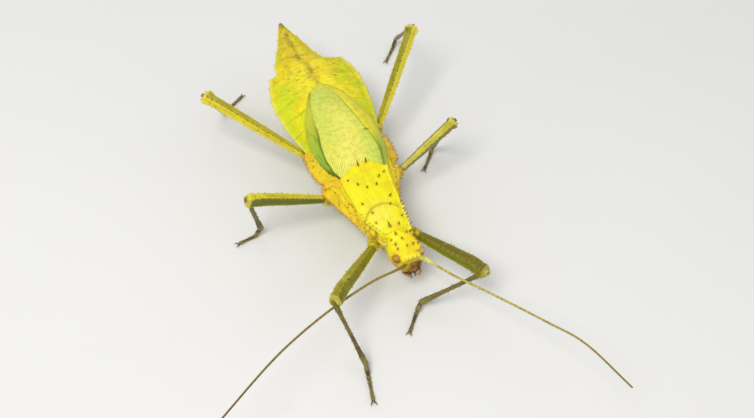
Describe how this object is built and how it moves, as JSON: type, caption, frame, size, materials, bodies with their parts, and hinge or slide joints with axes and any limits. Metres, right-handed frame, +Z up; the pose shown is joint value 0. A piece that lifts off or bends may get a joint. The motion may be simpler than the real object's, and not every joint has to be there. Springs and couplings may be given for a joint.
{
  "type": "stick insect",
  "caption": "Life-size still model of a large yellow-green female stick insect with short wing cases, long feelers and spiny legs, standing on six flat soles.",
  "frame": {"origin": "middle of the whole insect's box, on the floor under its feet", "axes": "+Z up, -Y towards the head, +X towards the insect's left side"},
  "size_m": [0.1354, 0.2056, 0.0349],
  "materials": {
    "body": "satin lemon-yellow cuticle",
    "pleura": "satin orange-yellow cuticle",
    "abdomen": "satin yellow-green mottled cuticle",
    "tegmen": "leathery pale green",
    "leg": "satin yellow and olive bands",
    "shin": "satin olive-brown cuticle",
    "foot": "satin dull brown cuticle",
    "eye": "glossy brown",
    "mouth": "satin brown cuticle",
    "feeler": "satin straw-coloured cuticle"
  },
  "bodies": {
    "root": {"head": "body", "eye_left": "eye", "eye_right": "eye", "labrum": "mouth", "mandible_left": "mouth", "maxillary_palp_left": "mouth", "mandible_right": "mouth", "maxillary_palp_right": "mouth", "antenna_left_base": "feeler", "antenna_left_inner": "feeler", "antenna_left_outer": "feeler", "antenna_right_base": "feeler", "antenna_right_inner": "feeler", "antenna_right_outer": "feeler", "prothorax": "body", "mesothorax": "body", "metathorax": "pleura", "tegmen_left": "tegmen", "tegmen_right": "tegmen", "abdomen_2": "abdomen", "abdomen_3": "abdomen", "abdomen_4": "abdomen", "abdomen_5": "abdomen", "abdomen_6": "abdomen", "abdomen_7": "abdomen", "abdomen_8": "abdomen", "abdomen_9": "abdomen", "abdomen_10": "abdomen", "ovipositor_upper": "abdomen", "ovipositor_lower": "abdomen", "front_left_coxa": "body", "front_left_femur": "leg", "front_left_tibia": "shin", "front_left_tarsus": "foot", "front_right_coxa": "body", "front_right_femur": "leg", "front_right_tibia": "shin", "front_right_tarsus": "foot", "mid_left_coxa": "body", "mid_left_femur": "leg", "mid_left_tibia": "shin", "mid_left_tarsus": "foot", "mid_right_coxa": "body", "mid_right_femur": "leg", "mid_right_tibia": "shin", "mid_right_tarsus": "foot", "hind_left_coxa": "body", "hind_left_femur": "leg", "hind_left_tibia": "shin", "hind_left_tarsus": "foot", "hind_right_coxa": "body", "hind_right_femur": "leg", "hind_right_tibia": "shin", "hind_right_tarsus": "foot"}
  },
  "joints": []
}
